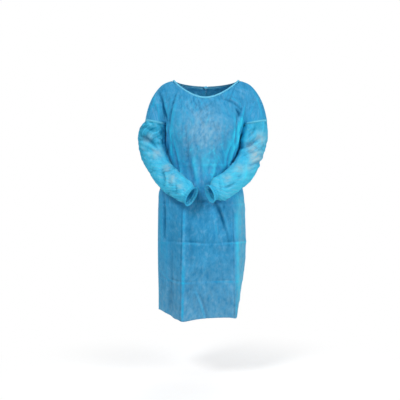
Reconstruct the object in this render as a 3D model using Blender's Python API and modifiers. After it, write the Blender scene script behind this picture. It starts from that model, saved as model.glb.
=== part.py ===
"""Isolation gown, hollow, as it hangs on a general figure whose forearms meet in front.

Metres, +Z up. The wearer faces -Y, so the wearer's right arm is on the -X side. The origin lies midway
between the tops of the shoulders, where the wearer holds the gown up. Every piece of cloth is an open
surface worked out from sections and folds, with a Solidify modifier for its wall.
"""

import math

import bmesh
import bpy
import numpy as np

# ---------------------------------------------------------------- driving sizes
WALL = 0.0014  # wall of every panel
TRIM_WALL = 0.0022  # wall of the folded binding, the ties and the cuffs
GAP = 0.0008  # gap between pieces that are sewn together
CUFF_GAP = 0.0020  # the same, between a sleeve and its thicker cuff
HEM_Z = -1.085
ARMPIT_Z = -0.190
RIDGE_Z = 0.0175  # top of the shoulders beside the neck
BODY_X = 0.010  # the middle of the shoulders and neck

# The torso below the armpits: one level section a row. It is widest at side_y, front and back are where
# it crosses its middle, and the squareness of each quarter is the exponent of its superellipse.
SECTION_COLUMNS = (
    "z", "middle", "half_width", "side_y", "front", "back", "square_front_right", "square_front_left", "square_back",
)
SECTIONS = (
    (-1.085, -0.030, 0.182, 0.030, -0.160, 0.150, 1.75, 2.8, 2.5),
    (-1.000, -0.022, 0.190, 0.030, -0.160, 0.152, 1.8, 2.8, 2.5),
    (-0.850, -0.012, 0.203, 0.030, -0.158, 0.154, 1.9, 2.6, 2.4),
    (-0.650, -0.011, 0.204, 0.030, -0.152, 0.156, 2.1, 2.5, 2.4),
    (-0.550, -0.012, 0.202, 0.048, -0.140, 0.151, 2.1, 2.3, 2.3),
    (-0.495, -0.013, 0.198, 0.064, -0.124, 0.142, 1.8, 1.9, 2.3),
    (-0.440, -0.008, 0.179, 0.074, -0.116, 0.132, 1.55, 1.55, 2.4),
    (-0.390, -0.008, 0.175, 0.072, -0.118, 0.128, 1.5, 1.5, 2.4),
    (-0.320, -0.006, 0.176, 0.060, -0.134, 0.123, 1.7, 1.7, 2.4),
    (-0.250, -0.003, 0.1765, 0.030, -0.148, 0.120, 2.1, 2.1, 2.3),
    (-0.190, 0.004, 0.180, 0.000, -0.144, 0.118, 2.3, 2.3, 2.3),
)

# The hem's line: how much higher than HEM_Z it is, by its share of the front or back panel's half-width.
HEM_COLUMNS = ("share", "lift")
HEM_FRONT = (
    (-1.00, 0.028),
    (-0.80, 0.033),
    (-0.55, 0.020),
    (-0.27, 0.000),
    (0.00, 0.013),
    (0.45, 0.016),
    (0.72, 0.006),
    (0.88, 0.024),
    (1.00, 0.045),
)
HEM_BACK = ((-1.00, 0.028), (-0.50, 0.038), (0.00, 0.030), (0.50, 0.036), (1.00, 0.045))

# The line along the top of a shoulder and arm, from the neck to the sleeve seam, out from the middle.
SHOULDER_COLUMNS = ("out", "z")
SHOULDER = (
    (0.147, 0.0175),
    (0.196, 0.000),
    (0.234, -0.038),
    (0.265, -0.097),
    (0.283, -0.171),
)
ARM_DEPTH = 0.060  # half the front-to-back size of the seam ring round the arm
CHEST_LEAN = 0.33  # how far the chest slopes back under the shoulder line
BLADE_LEAN = 0.06  # the same for the shoulder blades
NECK_SHARE = 0.365  # the neck's reach across a panel, as a share of the panel's half-width
NECK_FRONT_Z = -0.073
NECK_BACK_Z = -0.004
NECK_SQUARE = 1.8
BINDING = 0.009  # width of the neck binding
SHOULDER_SPAN = 0.38  # metres along the shoulder for each whole unit of share

# Sleeves and cuffs: one tube's sections, from just below the seam. wide is half the size across the arm
# as seen from the front, and deep is half the size from front to back. The cuff begins at CUFF_ROW, where
# the elastic gathers the tube, and its frill stands past that.
SLEEVE_COLUMNS = ("x", "y", "z", "wide", "deep")
SLEEVE_RIGHT = (
    (-0.240, 0.006, -0.212, 0.060, 0.060),
    (-0.2455, 0.008, -0.255, 0.0635, 0.060),
    (-0.2340, 0.003, -0.331, 0.0600, 0.058),
    (-0.205, -0.035, -0.392, 0.055, 0.052),
    (-0.170, -0.095, -0.438, 0.055, 0.047),
    (-0.137, -0.140, -0.468, 0.055, 0.042),
    (-0.100, -0.172, -0.495, 0.049, 0.038),
    (-0.076, -0.191, -0.514, 0.047, 0.035),
    (-0.066, -0.198, -0.521, 0.041, 0.031),
    (-0.054, -0.206, -0.528, 0.045, 0.034),
)
SLEEVE_LEFT = (
    (0.2405, 0.006, -0.212, 0.058, 0.060),
    (0.2370, 0.007, -0.255, 0.0588, 0.060),
    (0.2210, 0.003, -0.325, 0.0558, 0.058),
    (0.190, -0.037, -0.390, 0.055, 0.052),
    (0.151, -0.095, -0.435, 0.056, 0.047),
    (0.115, -0.139, -0.465, 0.055, 0.042),
    (0.078, -0.172, -0.487, 0.053, 0.039),
    (0.056, -0.189, -0.501, 0.050, 0.037),
    (0.043, -0.197, -0.508, 0.036, 0.029),
    (0.022, -0.209, -0.516, 0.039, 0.031),
)
CUFF_ROW = 8

# The back opens down its middle. Its left panel lies over the right one. An edge is at 0 in the middle,
# and an overlap puts each edge past it by this share of a half-width.
LAP_NECK = -0.024
LAP_WAIST = 0.22
LAP_HEM = 0.34
LAP_DEPTH = 0.006  # the under panel runs this far inside the over panel
LAP_RAMP = 0.16  # it begins to go in this share outside the over panel's edge
LAP_LEVEL = 0.03  # and is all the way in this share outside it
LAP_NECK_RUN = 0.075  # and it comes out again over this height under the neck

# Large folds, from one end to the other as seen from the front. rise is how far the cloth stands out at
# the fold's line, below zero for a trough, and half_width is where it has dropped to a third.
FOLD_COLUMNS = ("x_start", "z_start", "x_end", "z_end", "half_width", "rise")
FRONT_FOLDS = (
    (-0.098, -0.660, -0.104, -1.130, 0.024, 0.014),
    (-0.150, -0.700, -0.156, -1.130, 0.026, -0.008),
    (0.132, -0.720, 0.138, -1.130, 0.022, 0.008),
    (0.015, -0.900, 0.020, -1.130, 0.060, -0.007),
    (-0.150, -0.560, -0.160, -0.700, 0.014, -0.008),
    (0.060, -0.600, 0.085, -0.760, 0.022, -0.008),
    (-0.195, -0.060, -0.172, -0.160, 0.013, -0.008),
    (0.196, -0.070, 0.172, -0.165, 0.013, -0.008),
    (-0.120, -0.080, -0.150, -0.300, 0.012, 0.006),
    (0.110, -0.080, 0.150, -0.160, 0.012, -0.006),
)
BACK_FOLDS = (
    (-0.130, -0.500, -0.145, -1.130, 0.026, 0.013),
    (-0.085, -0.520, -0.090, -1.130, 0.024, -0.009),
    (0.045, -0.500, 0.050, -1.130, 0.026, 0.010),
    (0.095, -0.520, 0.105, -1.130, 0.024, -0.010),
    (0.140, -0.500, 0.150, -1.130, 0.024, 0.012),
    (-0.130, -0.180, -0.110, -0.360, 0.020, -0.008),
    (0.130, -0.180, 0.110, -0.360, 0.020, -0.008),
)
SLEEVE_FOLDS = (
    (-0.300, -0.250, -0.235, -0.282, 0.012, -0.007),
    (-0.285, -0.300, -0.225, -0.330, 0.012, 0.005),
    (-0.195, -0.370, -0.192, -0.430, 0.011, -0.007),
    (-0.145, -0.430, -0.125, -0.500, 0.011, 0.005),
    (0.165, -0.290, 0.250, -0.262, 0.012, -0.007),
    (0.195, -0.325, 0.260, -0.310, 0.012, 0.005),
    (0.170, -0.370, 0.176, -0.435, 0.011, -0.007),
    (0.105, -0.430, 0.125, -0.500, 0.011, 0.005),
)

# Ties: neck ties are the binding run on, waist ties are flat strips from the side seams.
TIE_WAIST_Z = -0.425
TIE_WIDTH = 0.026
TIE_LIFT = 0.0045
KNOT_PULL = 0.022  # a tie is narrowed over this distance from its knot
KNOT_PINCH = 0.4  # by this share of its width
KNOT_LIFT = 0.8  # a knot's middle stands off the tie's line by this share of its own half-depth
END_SPREAD = 0.6  # a free end's middle line starts this share of its width to the side of its knot
TIE_START = 0.97  # the share where a waist tie leaves its side seam
HALF_WAIST = 0.20  # metres from the middle of the back to a side seam, at the waist
END_LIFT = 0.0060
TIE_COLUMNS = 15
END_ROWS = 8
WAIST_END = 0.270  # length of each free end
NECK_END = 0.150
WAIST_SWING = 0.030  # how far each free end swings to its side
NECK_SWING = 0.012
WAIST_KNOT = (0.0150, 0.0080, 0.0150)  # half sizes
NECK_KNOT = (0.0082, 0.0050, 0.0080)

# Divisions of the surfaces.
FRONT, BACK = -1, 1
SKIRT_ROWS = 8
WAIST_Z = -0.580  # rows are closer together above this
WAIST_ROWS = 11
UPPER_ROWS = 8
SLEEVE_SIDES = 18
SLEEVE_ROWS = 16
CUFF_ROWS = 3
NECK_COLUMNS = 6
ARM_COLUMNS = 5
EDGE = 0.0020  # the share left free at a side seam
SHOULDER_EDGE = 0.005  # the share of a column left free at the shoulder line
RING_DROP = 0.0022  # a sleeve begins this far below the seam ring


# ---------------------------------------------------------------- curves through a table
def smooth_curve(at, keys, values):
    """Cubic through a table's values, with the slope at each key taken from its neighbours."""
    keys = np.asarray(keys, float)
    values = np.asarray(values, float)
    slopes = np.gradient(values, keys, axis=0)
    at = np.clip(np.asarray(at, float), keys[0], keys[-1])
    i = np.clip(np.searchsorted(keys, at) - 1, 0, len(keys) - 2)
    step = (keys[i + 1] - keys[i])[:, None]
    u = (at - keys[i])[:, None] / step
    return (
        values[i] * (1 + 2 * u) * (1 - u) ** 2
        + slopes[i] * step * u * (1 - u) ** 2
        + values[i + 1] * u * u * (3 - 2 * u)
        + slopes[i + 1] * step * u * u * (u - 1)
    )


def run_lengths(points):
    """Distance along a line of points, from 0 at its start."""
    return np.concatenate([[0], np.cumsum(np.linalg.norm(np.diff(points, axis=0), axis=1))])


def columns(table, names, wanted):
    """The wanted columns of a table, in the order asked for."""
    return np.array(table)[:, [names.index(name) for name in wanted]]


def section_at(z):
    rows = np.array(SECTIONS)
    return dict(zip(SECTION_COLUMNS[1:], smooth_curve([z], rows[:, 0], rows[:, 1:])[0]))


# ---------------------------------------------------------------- torso
def quarter_outline(section, face, side):
    """Points of a quarter of a section, from its middle round to its side seam."""
    quarter = "back" if face == BACK else ("front_left" if side > 0 else "front_right")
    power = 2 / section[f"square_{quarter}"]
    reach = section["side_y"] - section["front"] if face == FRONT else section["back"] - section["side_y"]
    angle = np.linspace(0, math.pi / 2, 181)
    x = section["middle"] + side * section["half_width"] * np.sin(angle) ** power
    y = section["side_y"] + face * reach * np.cos(angle) ** power
    return np.stack([x, y], axis=1)


def half_section(z, face, shares):
    """Points on the front or back half of the section at z. A share is 0 at the middle, 1 at a side seam,
    and below 0 on the wearer's right."""
    section = section_at(z)
    place = np.full((len(shares), 3), float(z))
    for side in (-1, 1):
        outline = quarter_outline(section, face, side)
        along = run_lengths(outline)
        on_side = shares * side >= 0
        want = np.abs(shares[on_side]) * along[-1]
        place[on_side, 0] = np.interp(want, along, outline[:, 0])
        place[on_side, 1] = np.interp(want, along, outline[:, 1])
    return place


def shoulder_line(shares):
    """Points on top of the shoulders. Inside the neck the line runs on level, as a guide only."""
    table = columns(SHOULDER, SHOULDER_COLUMNS, ("out", "z"))
    size = np.abs(shares)
    run = run_lengths(table)
    at = np.clip((size - NECK_SHARE) / (1 - NECK_SHARE), 0, 1) * run[-1]
    out, z = smooth_curve(at, run, table).T
    out = np.where(size < NECK_SHARE, table[0, 0] * size / NECK_SHARE, out)
    return np.stack([BODY_X + np.sign(shares) * out, np.zeros(len(out)), z], axis=1)


def neck_limit(shares, face, inset):
    """How far up its column the cloth goes: 0 at the armpit, 1 on the shoulder line.
    inset moves the neck's edge outwards by that width."""
    reach = NECK_SHARE + inset / SHOULDER_SPAN
    low = (NECK_FRONT_Z if face == FRONT else NECK_BACK_Z) - inset
    inner = np.clip(np.abs(shares) / reach, 0, 1)
    z = RIDGE_Z - (RIDGE_Z - low) * (1 - inner**NECK_SQUARE) ** (1 / NECK_SQUARE)
    return np.arcsin(np.clip((z - ARMPIT_Z) / (RIDGE_Z - ARMPIT_Z), 0, 1)) * 2 / math.pi


def yoke(shares, heights, face):
    """Points above the armpits: columns rise from the armpit section and curve back to the shoulder line.
    Towards a side they go round the arm, so that the last column is half of the sleeve's seam ring."""
    foot = half_section(ARMPIT_Z, face, np.asarray(shares, float))
    top = shoulder_line(shares)
    arm = np.abs(shares) ** 6
    turn = (1 - np.cos(math.pi * heights)) / 2
    quarter = np.sin(math.pi * heights / 2)
    rise = (1 - arm) * quarter + arm * turn
    x = foot[:, 0] + (top[:, 0] - foot[:, 0]) * turn
    lean = CHEST_LEAN if face == FRONT else BLADE_LEAN
    y = foot[:, 1] * np.cos(math.pi * heights / 2) * (1 - lean * quarter)
    y += face * ARM_DEPTH * arm * np.sin(math.pi * heights)
    z = foot[:, 2] + (top[:, 2] - foot[:, 2]) * rise
    return np.stack([x, y, z], axis=1)


def torso_rows():
    """Heights of the level rows, from the hem to just under the armpits."""
    skirt = np.linspace(HEM_Z, WAIST_Z, SKIRT_ROWS + 1)[:-1]
    waist = np.linspace(WAIST_Z, ARMPIT_Z, WAIST_ROWS + 1)
    return np.concatenate([skirt, waist])


def hem_lift(shares, face):
    """How far the hem's line lifts each column."""
    table = columns(HEM_FRONT if face == FRONT else HEM_BACK, HEM_COLUMNS, ("share", "lift"))
    return smooth_curve(shares, table[:, 0], table[:, 1:])[:, 0]


def panel_grid(face, shares_at, inset):
    """Rows of points from the hem to the neck and shoulder. shares_at gives the columns' shares at a z."""
    rows = []
    for z in torso_rows():
        shares = shares_at(z)
        row = half_section(z, face, shares)
        row[:, 2] += hem_lift(shares, face) * np.clip((WAIST_Z - z) / (WAIST_Z - HEM_Z), 0, 1) ** 2
        rows.append(row)
    for i in range(1, UPPER_ROWS + 1):
        shares = shares_at(ARMPIT_Z + (RIDGE_Z - ARMPIT_Z) * i / UPPER_ROWS)
        limit = np.minimum(neck_limit(shares, face, inset), 1 - SHOULDER_EDGE)
        rows.append(yoke(shares, limit * i / UPPER_ROWS, face))
    return np.array(rows)


def neck_turn(count):
    """Shares of the neck's half-width, closer together towards its corner, where its edge is steep."""
    return np.sin(np.linspace(0, math.pi / 2, count + 1))


def spread(inner, outer):
    """Shares of a half panel's columns, from the inner one to the outer, with one at the neck's corner."""
    corner = math.copysign(NECK_SHARE + (BINDING + GAP) / SHOULDER_SPAN, outer)
    neck = inner + (corner - inner) * neck_turn(NECK_COLUMNS)
    arm = np.linspace(corner, outer, ARM_COLUMNS + 1)[1:]
    return np.concatenate([neck, arm])


def front_shares(_z):
    half = spread(0.0, 1 - EDGE)
    return np.concatenate([-half[:0:-1], half])


def lap_at(z):
    """How far past the middle each back edge runs at a height."""
    keys = (HEM_Z, TIE_WAIST_Z, NECK_BACK_Z)
    return float(np.interp(z, keys, (LAP_HEM, LAP_WAIST, LAP_NECK)))


def back_left_shares(z):
    return spread(-lap_at(z), 1 - EDGE)[::-1]


def back_right_shares(z):
    return spread(lap_at(z), -(1 - EDGE))


def tucked(grid, shares_at):
    """The under panel's grid, moved inside the over panel wherever that covers it."""
    heights = np.concatenate([torso_rows(), np.linspace(ARMPIT_Z, RIDGE_Z, UPPER_ROWS + 1)[1:]])
    depth = np.zeros(grid.shape[:2])
    for i, z in enumerate(heights):
        across = np.clip((shares_at(z) + lap_at(z) + LAP_RAMP) / (LAP_RAMP - LAP_LEVEL), 0, 1)
        under_neck = min((RIDGE_Z - z) / LAP_NECK_RUN, 1)
        depth[i] = LAP_DEPTH * under_neck * across * across * (3 - 2 * across)
    return grid - normals_of(grid) * depth[..., None]


# ---------------------------------------------------------------- folds
def normals_of(grid, closed=False):
    """Unit normals of a grid of points, pointing out of the gown."""
    across = np.gradient(grid, axis=1)
    if closed:
        across = (np.roll(grid, -1, axis=1) - np.roll(grid, 1, axis=1)) / 2
    normal = np.cross(across, np.gradient(grid, axis=0))
    return normal / np.maximum(np.linalg.norm(normal, axis=2, keepdims=True), 1e-12)


def fold_height(grid, folds):
    """How far the folds lift each point of a grid."""
    place = grid[..., [0, 2]]
    height = np.zeros(grid.shape[:-1])
    for row in folds:
        f = dict(zip(FOLD_COLUMNS, row))
        start = np.array([f["x_start"], f["z_start"]])
        run = np.array([f["x_end"], f["z_end"]]) - start
        share = np.clip(((place - start) @ run) / (run @ run), 0, 1)
        away = np.linalg.norm(place - start - share[..., None] * run, axis=-1)
        height += f["rise"] * np.exp(-((away / f["half_width"]) ** 2))
    return height


def seam_fade(count, first, last):
    """Weights that leave a grid's first or last line where it is sewn."""
    at = np.linspace(0, 1, count)
    weight = np.ones(count)
    if first:
        weight *= 1 - (1 - at) ** 10
    if last:
        weight *= 1 - at**10
    return weight


def folded_panel(grid, folds, first, last):
    """A panel's grid with its folds. first and last say which side edges are sewn."""
    height = fold_height(grid, folds) * seam_fade(grid.shape[1], first, last)
    height *= seam_fade(grid.shape[0], False, True)[:, None]
    return grid + normals_of(grid) * height[..., None]


# ---------------------------------------------------------------- sleeves
def seam_ring(side):
    """Centre, outward and frontward half-axes of the ring where a sleeve is sewn on."""
    share = np.array([float(side)])
    inner = half_section(ARMPIT_Z, FRONT, share)[0] + np.array([side * (WALL + 2 * GAP), 0, 0])
    outer = shoulder_line(share)[0]
    drop = np.array([0, 0, -RING_DROP])
    return (inner + outer) / 2 + drop, (outer - inner) / 2, np.array([0, -ARM_DEPTH, 0])


def arm_frames(rows, side):
    """Centre and half-axes of each section along an arm, square to its centre line, with the ring first."""
    centres = columns(rows, SLEEVE_COLUMNS, ("x", "y", "z"))
    sizes = columns(rows, SLEEVE_COLUMNS, ("wide", "deep"))
    along = np.gradient(centres, run_lengths(centres), axis=0)
    along /= np.linalg.norm(along, axis=1, keepdims=True)
    out = np.cross(along, (0, 1, 0)) * side
    out /= np.linalg.norm(out, axis=1, keepdims=True)
    ahead = np.cross(along, out) * side
    frames = np.concatenate([centres, out * sizes[:, :1], ahead * sizes[:, 1:]], axis=1)
    return np.concatenate([[np.concatenate(seam_ring(side))], frames])


def tube_grid(frames, side, start, end, count):
    """Rings of points through the frames, from start to end metres along the arm.
    A ring's first point is on the armpit's side, and its turn makes the normals point out."""
    found = smooth_curve(np.linspace(start, end, count), run_lengths(frames[:, :3]), frames)
    angle = -side * np.linspace(0, 2 * math.pi, SLEEVE_SIDES, endpoint=False)
    centre, out, ahead = found[:, None, :3], found[:, None, 3:6], found[:, None, 6:]
    return centre - np.cos(angle)[:, None] * out + np.sin(angle)[:, None] * ahead


def sleeve_grid(frames, side):
    elastic = run_lengths(frames[:, :3])[CUFF_ROW + 1]
    grid = tube_grid(frames, side, 0, elastic, SLEEVE_ROWS + 1)
    height = fold_height(grid, SLEEVE_FOLDS) * seam_fade(grid.shape[0], True, True)[:, None]
    return grid + normals_of(grid, closed=True) * height[..., None]


def cuff_grid(frames, side):
    run = run_lengths(frames[:, :3])
    return tube_grid(frames, side, run[CUFF_ROW + 1] + CUFF_GAP, run[-1], CUFF_ROWS + 1)


# ---------------------------------------------------------------- binding and ties
def neck_binding_grid():
    """Rows across the binding, each from the under panel's corner round the front to the over panel's."""
    rows = []
    for inset in (BINDING, 0.0):
        reach = NECK_SHARE + inset / SHOULDER_SPAN
        half = reach * neck_turn(NECK_COLUMNS)
        front = np.concatenate([-half[::-1], half[1:]])
        inner = -lap_at(RIDGE_Z)
        back = (inner + (reach - inner) * neck_turn(NECK_COLUMNS))[:-1]
        pieces = ((-back, BACK), (front, FRONT), (back[::-1], BACK))
        rows.append(np.concatenate([yoke(s, neck_limit(s, face, inset), face) for s, face in pieces]))
    return np.array(rows)


def back_point(x, z):
    """The point of the folded back's surface at x and z, near the middle of the back."""
    section = section_at(min(z, ARMPIT_Z))
    across = min(abs(x - section["middle"]) / section["half_width"], 1.0)
    square = section["square_back"]
    y = section["side_y"] + (section["back"] - section["side_y"]) * (1 - across**square) ** (1 / square)
    up = max(z - ARMPIT_Z, 0) / (RIDGE_Z - ARMPIT_Z)
    y *= math.sqrt(1 - up * up) * (1 - BLADE_LEAN * up)
    point = np.array([x, y, z])
    return point + np.array([0, fold_height(point, BACK_FOLDS), 0])


def waist_tie_grid(side):
    """A strip from a side seam round the back to the knot, made from the panel's points and moved out.
    It narrows and rises towards the knot."""
    size = np.linspace((WAIST_KNOT[0] + GAP) / HALF_WAIST, TIE_START, TIE_COLUMNS)
    near = np.exp(-(((size - size[0]) * HALF_WAIST / KNOT_PULL) ** 2))
    levels = TIE_WAIST_Z + TIE_WIDTH * np.array([-0.5, 0.5])
    grid = np.array([half_section(z, BACK, side * size) for z in levels])
    middle = grid.mean(axis=0)
    grid = middle + (grid - middle) * (1 - KNOT_PINCH * near)[:, None]
    grid = grid[:, :: -side]
    lift = TIE_LIFT + WAIST_KNOT[1] * KNOT_LIFT * near[:: -side]
    return grid + normals_of(grid) * lift[:, None]


def free_end_grid(top, side, width, length, swing):
    """A free end that hangs down the back from under a knot and swings sideways on its way."""
    rows = []
    for t in np.linspace(1, 0, END_ROWS):
        z = top[2] - length * t
        x = top[0] + side * (width * END_SPREAD + swing * math.sin(math.pi / 2 * t))
        rows.append([back_point(x + across * width, z) for across in (0.5, 0.0, -0.5)])
    return np.array(rows) + np.array([0, END_LIFT, 0])


# ---------------------------------------------------------------- objects
def new_collection(name):
    collection = bpy.data.collections.new(name)
    bpy.context.scene.collection.children.link(collection)
    return collection


def cloth_material(name, colour, roughness):
    material = bpy.data.materials.new(name)
    material.use_nodes = True
    shader = material.node_tree.nodes["Principled BSDF"]
    shader.inputs["Base Color"].default_value = (*colour, 1.0)
    shader.inputs["Roughness"].default_value = roughness
    shader.inputs["Metallic"].default_value = 0.0
    return material


def cloth(name, grid, collection, material, wall, closed=False):
    """A sheet of cloth through a grid of points: faces between its rows, and a wall about them."""
    rows, columns = grid.shape[:2]
    faces = []
    for r in range(rows - 1):
        for c in range(columns if closed else columns - 1):
            n = (c + 1) % columns
            faces.append((r * columns + c, r * columns + n, (r + 1) * columns + n, (r + 1) * columns + c))
    mesh = bpy.data.meshes.new(name)
    mesh.from_pydata([tuple(p) for p in grid.reshape(-1, 3)], [], faces)
    mesh.shade_smooth()
    mesh.materials.append(material)
    made = bpy.data.objects.new(name, mesh)
    collection.objects.link(made)
    solid = made.modifiers.new("wall", "SOLIDIFY")
    solid.thickness = wall
    solid.offset = 0.0
    solid.use_even_offset = True
    return made


def knot(name, centre, half_sizes, collection, material):
    """A tightened knot: a rounded lump, pinched round its middle where the strip wraps it."""
    mesh = bpy.data.meshes.new(name)
    shape = bmesh.new()
    bmesh.ops.create_uvsphere(shape, u_segments=14, v_segments=8, radius=1.0)
    for vertex in shape.verts:
        pinch = 1 - 0.18 * math.exp(-((vertex.co.x / 0.3) ** 2))
        vertex.co.x *= half_sizes[0]
        vertex.co.y *= half_sizes[1] * pinch
        vertex.co.z *= half_sizes[2] * pinch
    shape.to_mesh(mesh)
    shape.free()
    mesh.shade_smooth()
    mesh.materials.append(material)
    made = bpy.data.objects.new(name, mesh)
    made.location = centre
    collection.objects.link(made)
    return made


def build_body(gown, nonwoven):
    inset = BINDING + GAP
    front = panel_grid(FRONT, front_shares, inset)
    cloth("front", folded_panel(front, FRONT_FOLDS, True, True), gown, nonwoven, WALL)
    over = panel_grid(BACK, back_left_shares, inset)
    cloth("back_left", folded_panel(over, BACK_FOLDS, True, False), gown, nonwoven, WALL)
    under = folded_panel(panel_grid(BACK, back_right_shares, inset), BACK_FOLDS, False, True)
    cloth("back_right", tucked(under, back_right_shares), gown, nonwoven, WALL)


def build_sleeves(gown, sleeve_cloth, trim):
    for name, side, rows in (("right", -1, SLEEVE_RIGHT), ("left", 1, SLEEVE_LEFT)):
        frames = arm_frames(rows, side)
        cloth(f"sleeve_{name}", sleeve_grid(frames, side), gown, sleeve_cloth, WALL, closed=True)
        cloth(f"cuff_{name}", cuff_grid(frames, side), gown, trim, TRIM_WALL, closed=True)


def build_knot(name, centre, half_sizes, end_sizes, gown, trim):
    """A knot with its two free ends, whose sizes are width, length and swing."""
    knot(f"{name}_knot", centre, half_sizes, gown, trim)
    under = centre - np.array([0, 0, half_sizes[2] + GAP])
    for side_name, side in (("right", -1), ("left", 1)):
        end = free_end_grid(under, side, *end_sizes)
        cloth(f"{name}_end_{side_name}", end, gown, trim, TRIM_WALL)


def build_waist(gown, trim):
    middle = half_section(TIE_WAIST_Z, BACK, np.array([0.0]))[0]
    for name, side in (("right", -1), ("left", 1)):
        cloth(f"waist_tie_{name}", waist_tie_grid(side), gown, trim, TRIM_WALL)
    centre = middle + np.array([0, TIE_LIFT + WAIST_KNOT[1] * KNOT_LIFT, 0])
    build_knot("waist", centre, WAIST_KNOT, (TIE_WIDTH, WAIST_END, WAIST_SWING), gown, trim)


def build_neck(gown, trim):
    cloth("neck_binding", neck_binding_grid(), gown, trim, TRIM_WALL)
    middle = np.array([0.0])
    centre = yoke(middle, neck_limit(middle, BACK, BINDING / 2), BACK)[0]
    build_knot("neck", centre, NECK_KNOT, (BINDING, NECK_END, NECK_SWING), gown, trim)


def main():
    for old in list(bpy.data.objects):
        bpy.data.objects.remove(old)
    gown = new_collection("isolation_gown")
    nonwoven = cloth_material("nonwoven", (0.06, 0.33, 0.60), 0.8)
    sleeve_cloth = cloth_material("sleeve_nonwoven", (0.08, 0.47, 0.72), 0.8)
    trim = cloth_material("binding_nonwoven", (0.12, 0.58, 0.80), 0.8)
    build_body(gown, nonwoven)
    build_sleeves(gown, sleeve_cloth, trim)
    build_neck(gown, trim)
    build_waist(gown, trim)


main()
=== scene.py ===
"""Looks of the isolation gown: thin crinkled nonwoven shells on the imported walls, with folds, packing
creases, seams, gathered cuffs, a neck binding and tied ends, over a pale floor in soft light.
Metres, in the frame's axes: the wearer faces -Y and +X is the wearer's left. Only the tables of folds are
in millimetres."""

import math

import bmesh
import bpy
import numpy as np
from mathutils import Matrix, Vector, noise


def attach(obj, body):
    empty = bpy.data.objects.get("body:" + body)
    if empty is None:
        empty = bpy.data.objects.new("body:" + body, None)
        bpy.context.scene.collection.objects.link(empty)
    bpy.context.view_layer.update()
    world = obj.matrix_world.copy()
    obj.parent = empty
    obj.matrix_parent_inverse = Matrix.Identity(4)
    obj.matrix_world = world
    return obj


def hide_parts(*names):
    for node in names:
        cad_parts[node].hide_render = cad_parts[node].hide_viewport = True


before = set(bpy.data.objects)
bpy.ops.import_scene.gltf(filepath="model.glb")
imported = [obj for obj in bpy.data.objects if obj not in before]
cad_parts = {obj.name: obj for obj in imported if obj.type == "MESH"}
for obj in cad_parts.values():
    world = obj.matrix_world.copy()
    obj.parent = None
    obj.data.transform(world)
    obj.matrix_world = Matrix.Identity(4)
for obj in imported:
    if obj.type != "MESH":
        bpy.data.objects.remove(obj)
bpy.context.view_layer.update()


def table(columns, *rows):
    """Rows of values, each by the names of its columns."""
    return [dict(zip(columns.split(), row)) for row in rows]


# ---------------- sizes
CLOTH = 0.0007  # thickness of a shell
BINDING = 0.0014  # thickness of the neck binding, which is folded
# Spacing of a shell's points.
PANEL_STEP, SLEEVE_STEP, CUFF_STEP, TRIM_STEP = 0.0038, 0.0030, 0.0016, 0.0024
RIM, TRIM_RIM = 0.0030, 0.0036  # the rim of a panel, and of a trim, has edges shorter than this
CORNER_REACH = 0.03  # a wall's corner is looked for about this near to its stated place
CORNER_STARTS, CORNER_SHARP = 0.90, 0.78  # a turn's cosine below which it starts to be a corner, and is one
UNDERARM_Z = -0.203  # the armhole's lowest point
NECK_MIDDLE, NECK_HALF = 0.010, 0.150  # X of the neck's middle, and half the opening
SIDE_SEAM, ARMHOLE_SEAM = 0.0024, 0.0034  # a seam reaches this far into the cloth on each side
SEAM_LIFT = 0.0011
# Painted light and shade across a seam: a painted highlight on its raised top and painted shade at its feet.
SEAM_TONES = (-0.2, 0.1, 0.25, 0.1, -0.2)  # across a seam, from one foot to the other
SEAM_OVERLAP = 0.012  # the armhole's seam runs on this far below its lowest point
DRAWN_IN = 0.0105  # the neck tie draws each free edge of the back this far in
DRAWN_REACH = 0.08  # and the cloth beside it less and less over about this far
TIE_REACH = 0.008  # a waist tie runs on this far to its side seam
CUFF_UNDER, CUFF_TUCK = 0.005, 0.0018  # a cuff runs on this far inside its sleeve, and ends this much lower
KNOT_SPREAD = (0.0022, 0, 0)  # a knot is pulled out along its tie
FLOOR_Z = -1.36  # where the wearer stands

# Crumple of the cloth: sets of creases by their turn from upright in degrees, spacing and height.
TORSO_CRUMPLE = table(
    "turn spacing height",
    (6, 0.022, 0.0016),
    (-13, 0.033, 0.0019),
    (35, 0.047, 0.0015),
    (-48, 0.041, 0.0014),
    (82, 0.059, 0.0011),
)
SLEEVE_CRUMPLE = table(
    "turn spacing height",
    (70, 0.024, 0.0021),
    (-38, 0.033, 0.0023),
    (18, 0.043, 0.0019),
    (-80, 0.055, 0.0015),
)
TORSO_BILLOW, SLEEVE_BILLOW = 0.0014, 0.0034  # how far the cloth stands off its form in places
# Cells to the metre of a crease's slow wander and quick waver, how far each moves it, and the cells of the
# patches where creases show.
WANDER_CELLS, WAVER_CELLS, PATCH_CELLS = 8, 27, 11
WANDER, WAVER = 0.024, 0.007
NOISE_SEED = 6
noise.seed_set(NOISE_SEED)  # vectors of noise are then the same in each run
# Gathers of a cuff: ripples round it, their height at the elastic and at the edge, and the flare there.
GATHERS = table(
    "side ripples at_elastic at_edge squeeze flare",
    ("right", 21, 0.0009, 0.0010, 0.0012, 0.0014),
    ("left", 26, 0.0014, 0.0021, 0.0022, 0.0026),
)
# How much darker a sleeve is below its armhole, and how much lighter lower down.
SLEEVE_TONES = {"right": (0.75, 0.16), "left": (0.25, 0.55)}
GATHER_RUN = 0.030  # the gathers run this far up the sleeve
HEM_LIFT_X, HEM_LIFT, HEM_LIFT_REACH = -0.119, 0.007, 0.012  # where the hem is drawn up, and how far
# Where a sleeve and the torso lean towards each other below the armpit: side, height, and how far.
LEANS = table(
    "side z reach lean",
    (1, -0.276, 0.042, 0.0056),
    (-1, -0.262, 0.040, 0.0018),
    (1, -0.222, 0.013, 0.0028),
    (1, -0.201, 0.009, 0.0024),
    (-1, -0.222, 0.013, 0.0026),
    (-1, -0.201, 0.009, 0.0020),
)
ARMPIT_X, ARMPIT_REACH = 0.178, 0.05  # where they lean on each side, and how far it fades out to
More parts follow.
